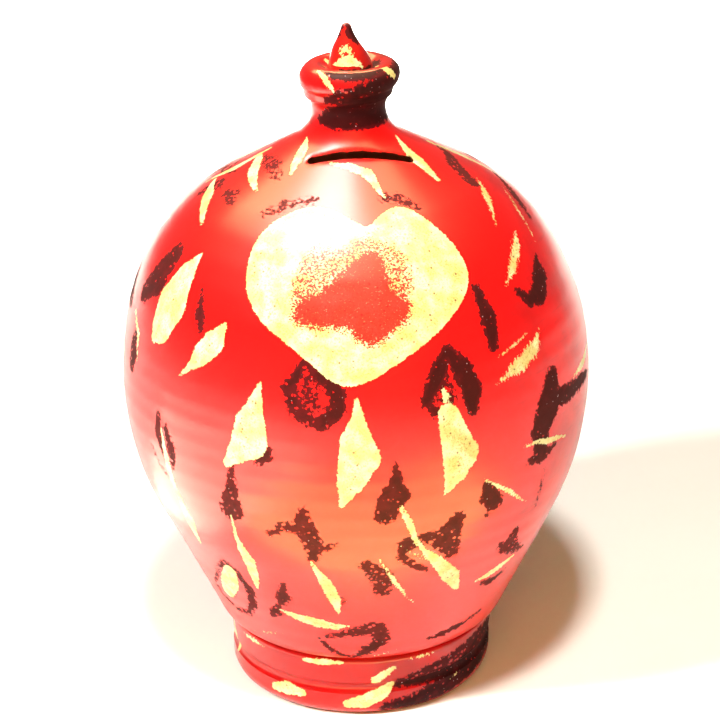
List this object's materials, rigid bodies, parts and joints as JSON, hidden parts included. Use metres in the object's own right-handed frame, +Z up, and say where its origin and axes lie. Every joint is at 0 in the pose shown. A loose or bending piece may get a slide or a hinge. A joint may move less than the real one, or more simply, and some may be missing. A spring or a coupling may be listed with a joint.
{
  "type": "clay money pot",
  "caption": "Closed painted clay coin pot on a foot ring, with a knob on top and one coin slot in the front of its shoulder.",
  "frame": {"origin": "where the pot's own axis meets the surface it stands on", "axes": "+Z up the axis to the knob's point, -Y towards the coin slot, +X to the right as the slot is faced"},
  "size_m": [0.1262, 0.1262, 0.185],
  "materials": {
    "varnished_body": "gloss varnish over red paint with gold and black strokes",
    "varnished_foot": "gloss varnish over red paint with gold and black strokes",
    "varnished_knob": "gloss varnish over dark red, black and gold paint",
    "varnished_finial": "gloss varnish over gold and red paint"
  },
  "bodies": {
    "root": {"foot_ring": "varnished_foot", "lower_bowl": "varnished_body", "shoulder_dome": "varnished_body", "knob_neck": "varnished_knob", "knob_finial": "varnished_finial"}
  },
  "joints": []
}
